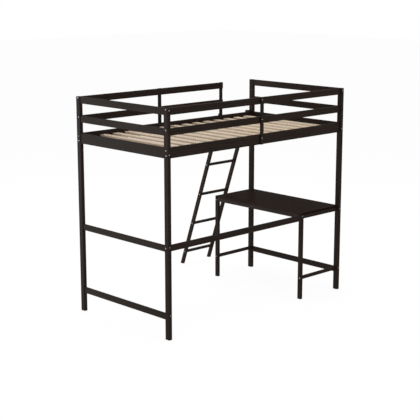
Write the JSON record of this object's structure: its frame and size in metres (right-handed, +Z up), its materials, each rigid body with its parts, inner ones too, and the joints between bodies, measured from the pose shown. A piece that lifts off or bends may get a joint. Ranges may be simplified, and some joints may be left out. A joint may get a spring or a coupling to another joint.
{
  "type": "loft bed with desk",
  "caption": "Raised slatted bed on tall posts with guard rails, a built-in desk under the head end and a leaning ladder at the rear side.",
  "frame": {"origin": "middle of the footprint, ladder included, on the floor", "axes": "+X along the bed from its foot to its head end, where the desk is; +Y across it towards the ladder's side; +Z up"},
  "size_m": [2, 1.6114, 1.759],
  "materials": {
    "espresso_wood": "solid pine, stained dark espresso under a satin lacquer",
    "espresso_board": "board with a smooth dark espresso face, satin",
    "raw_pine": "planed pine without finish",
    "zinc_steel": "zinc-plated steel"
  },
  "bodies": {
    "root": {"post_foot_front": "espresso_wood", "post_foot_rear": "espresso_wood", "post_head_front": "espresso_wood", "post_head_rear": "espresso_wood", "foot_top_rail": "espresso_wood", "foot_middle_rail": "espresso_wood", "foot_bed_rail": "espresso_wood", "foot_low_rail": "espresso_wood", "head_top_rail": "espresso_wood", "head_middle_rail": "espresso_wood", "head_bed_rail": "espresso_wood", "head_low_rail": "espresso_wood", "foot_stretcher": "espresso_wood", "front_top_rail": "espresso_wood", "front_middle_rail": "espresso_wood", "front_bed_rail": "espresso_wood", "rear_top_rail": "espresso_wood", "rear_middle_rail": "espresso_wood", "rear_bed_rail": "espresso_wood", "front_stretcher": "espresso_wood", "front_stile": "espresso_wood", "rear_stile": "espresso_wood", "ladder_stile": "espresso_wood", "front_slat_cleat": "espresso_wood", "rear_slat_cleat": "espresso_wood", "desk_front_apron": "espresso_wood", "desk_head_apron": "espresso_wood", "desk_front_side_apron": "espresso_wood", "desk_rear_side_apron": "espresso_wood", "desk_front_low_rail": "espresso_wood", "desk_rear_low_rail": "espresso_wood", "desk_front_leg": "espresso_wood", "desk_rear_leg": "espresso_wood", "ladder_left_stringer": "espresso_wood", "ladder_right_stringer": "espresso_wood", "ladder_rung_1": "espresso_wood", "ladder_rung_2": "espresso_wood", "ladder_rung_3": "espresso_wood", "ladder_rung_4": "espresso_wood", "ladder_rung_5": "espresso_wood", "desk_board": "espresso_board", "slat_01": "raw_pine", "slat_02": "raw_pine", "slat_03": "raw_pine", "slat_04": "raw_pine", "slat_05": "raw_pine", "slat_06": "raw_pine", "slat_07": "raw_pine", "slat_08": "raw_pine", "slat_09": "raw_pine", "slat_10": "raw_pine", "slat_11": "raw_pine", "slat_12": "raw_pine", "slat_13": "raw_pine", "slat_14": "raw_pine", "slat_15": "raw_pine", "ladder_bolt_left": "zinc_steel", "ladder_bolt_right": "zinc_steel"}
  },
  "joints": []
}
